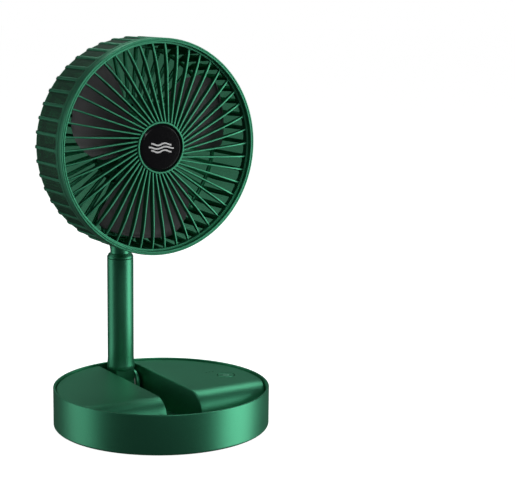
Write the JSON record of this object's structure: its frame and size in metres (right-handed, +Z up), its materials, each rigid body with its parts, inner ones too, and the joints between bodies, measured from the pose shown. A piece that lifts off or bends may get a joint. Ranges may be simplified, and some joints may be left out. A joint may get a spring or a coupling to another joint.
{
  "type": "desk fan",
  "caption": "Folding rechargeable desk fan: ribbed drum head with forty-six straight offset fins in front on one pole that lies down into the slot of a round base.",
  "frame": {"origin": "centre of the base's underside, on the plane of its rubber feet", "axes": "+Z up; the fan faces and blows towards -Y, the pole stands at +Y, and the button is on the +X side"},
  "size_m": [0.165, 0.165, 0.2945],
  "materials": {
    "green_shell": "satin metallic dark green paint on moulded plastic",
    "dark_hinge": "dark green moulded plastic, satin",
    "black_gloss": "piano black",
    "charcoal_blade": "translucent charcoal grey, satin",
    "rubber_foot": "matt black rubber",
    "steel": "zinc plated steel",
    "nylon": "natural nylon",
    "board_green": "solder-masked circuit board",
    "cell_wrap": "shrink-wrapped cell",
    "clear_lens": "frosted clear light guide"
  },
  "bodies": {
    "base": {"base_cup": "green_shell", "foot_pad_1": "rubber_foot", "foot_pad_2": "rubber_foot", "foot_pad_3": "rubber_foot", "foot_pad_4": "rubber_foot", "deck": "green_shell", "deck_screw_1": "steel", "deck_screw_2": "steel", "deck_screw_3": "steel", "deck_screw_4": "steel", "hinge_bracket": "dark_hinge", "hinge_pin": "steel", "hinge_screw_1": "steel", "hinge_screw_2": "steel", "hinge_washer_left": "nylon", "hinge_washer_right": "nylon", "circuit_board": "board_green", "power_switch": "black_gloss", "light_guide": "clear_lens", "usb_socket": "steel", "battery_cell": "cell_wrap", "battery_cradle": "black_gloss"},
    "button": {"power_button": "green_shell"},
    "pole": {"pole_foot": "green_shell", "pole_tube": "green_shell", "pole_collar": "green_shell", "neck_fork": "green_shell", "tilt_pin": "steel", "tilt_washer_left": "nylon", "tilt_washer_right": "nylon", "pole_wire": "rubber_foot"},
    "head": {"rear_cage": "green_shell", "front_grille": "green_shell", "front_cap": "black_gloss", "dust_screen": "green_shell", "motor_cup": "green_shell", "motor": "steel", "motor_cover": "green_shell", "cage_screw_1": "steel", "cage_screw_2": "steel", "cage_screw_3": "steel", "rear_bracket": "green_shell", "bracket_screw_1": "steel", "bracket_screw_2": "steel"},
    "rotor": {"impeller": "charcoal_blade", "motor_shaft": "steel", "impeller_nut": "black_gloss"}
  },
  "joints": [
    {"name": "pole_fold", "type": "hinge", "parent": "base", "child": "pole", "pos_m": [0, 0.0692, 0.0155], "axis": [1, 0, 0], "range_deg": [0, 90]},
    {"name": "head_tilt", "type": "hinge", "parent": "pole", "child": "head", "pos_m": [0, 0.0692, 0.14885], "axis": [1, 0, 0], "range_deg": [-180, 0]},
    {"name": "impeller_spin", "type": "hinge", "parent": "head", "child": "rotor", "pos_m": [0, 0.03, 0.213], "axis": [0, -1, 0], "continuous": true},
    {"name": "power_button_press", "type": "slide", "parent": "base", "child": "button", "axis": [0, 0, -1], "range_m": [0, 0.0008], "stiffness_N_per_m": 400, "springref_m": -0.0004}
  ],
  "couplings": [
    {"joint": "head_tilt", "follows": "pole_fold", "ratio": -2}
  ]
}
